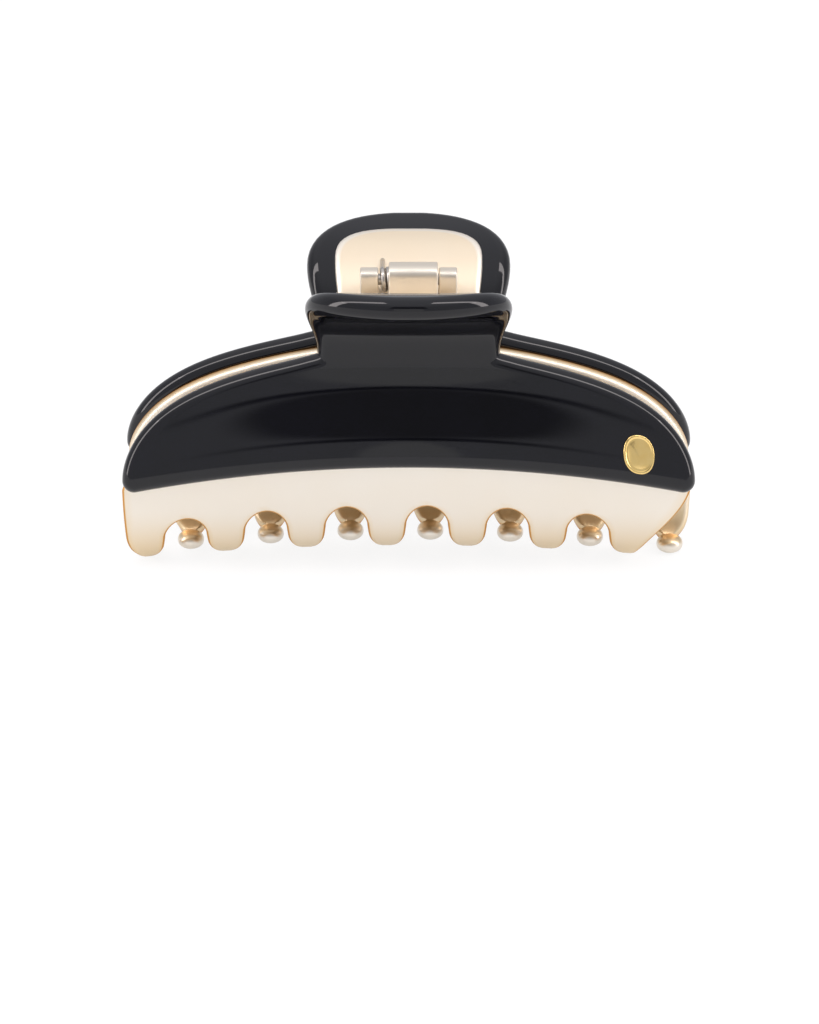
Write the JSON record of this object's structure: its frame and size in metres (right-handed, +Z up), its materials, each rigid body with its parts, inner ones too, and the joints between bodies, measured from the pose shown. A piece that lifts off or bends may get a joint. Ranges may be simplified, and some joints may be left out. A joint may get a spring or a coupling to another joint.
{
  "type": "claw hair clip",
  "caption": "Claw hair clip: two curved shells on toothed combs that open on a sprung hinge between two thumb tabs.",
  "frame": {"origin": "centre of the bottom of the bounding box, midway between the jaws at the level of the lowest tooth tips", "axes": "+X along the hinge, to the right seen from the front; +Y from the front jaw to the back jaw; +Z up, from the teeth to the thumb tabs"},
  "size_m": [0.1004, 0.0456, 0.0567],
  "materials": {
    "acetate": "polished black cellulose acetate",
    "gold_plastic": "pale gold metallised plastic",
    "steel": "drawn wire",
    "gold_metal": "polished pale gold"
  },
  "bodies": {
    "front_jaw": {"front_shell": "acetate", "front_comb": "gold_plastic", "plaque": "gold_metal"},
    "back_jaw": {"back_shell": "acetate", "back_comb": "gold_plastic", "hinge_pin": "steel", "torsion_spring": "steel"}
  },
  "joints": [
    {"name": "jaw_hinge", "type": "hinge", "parent": "front_jaw", "child": "back_jaw", "pos_m": [0, 0, 0.05217], "axis": [1, 0, 0], "range_deg": [0, 70], "stiffness_Nm_per_rad": 0.06, "springref_deg": -114.59, "deforming": ["torsion_spring"]}
  ]
}
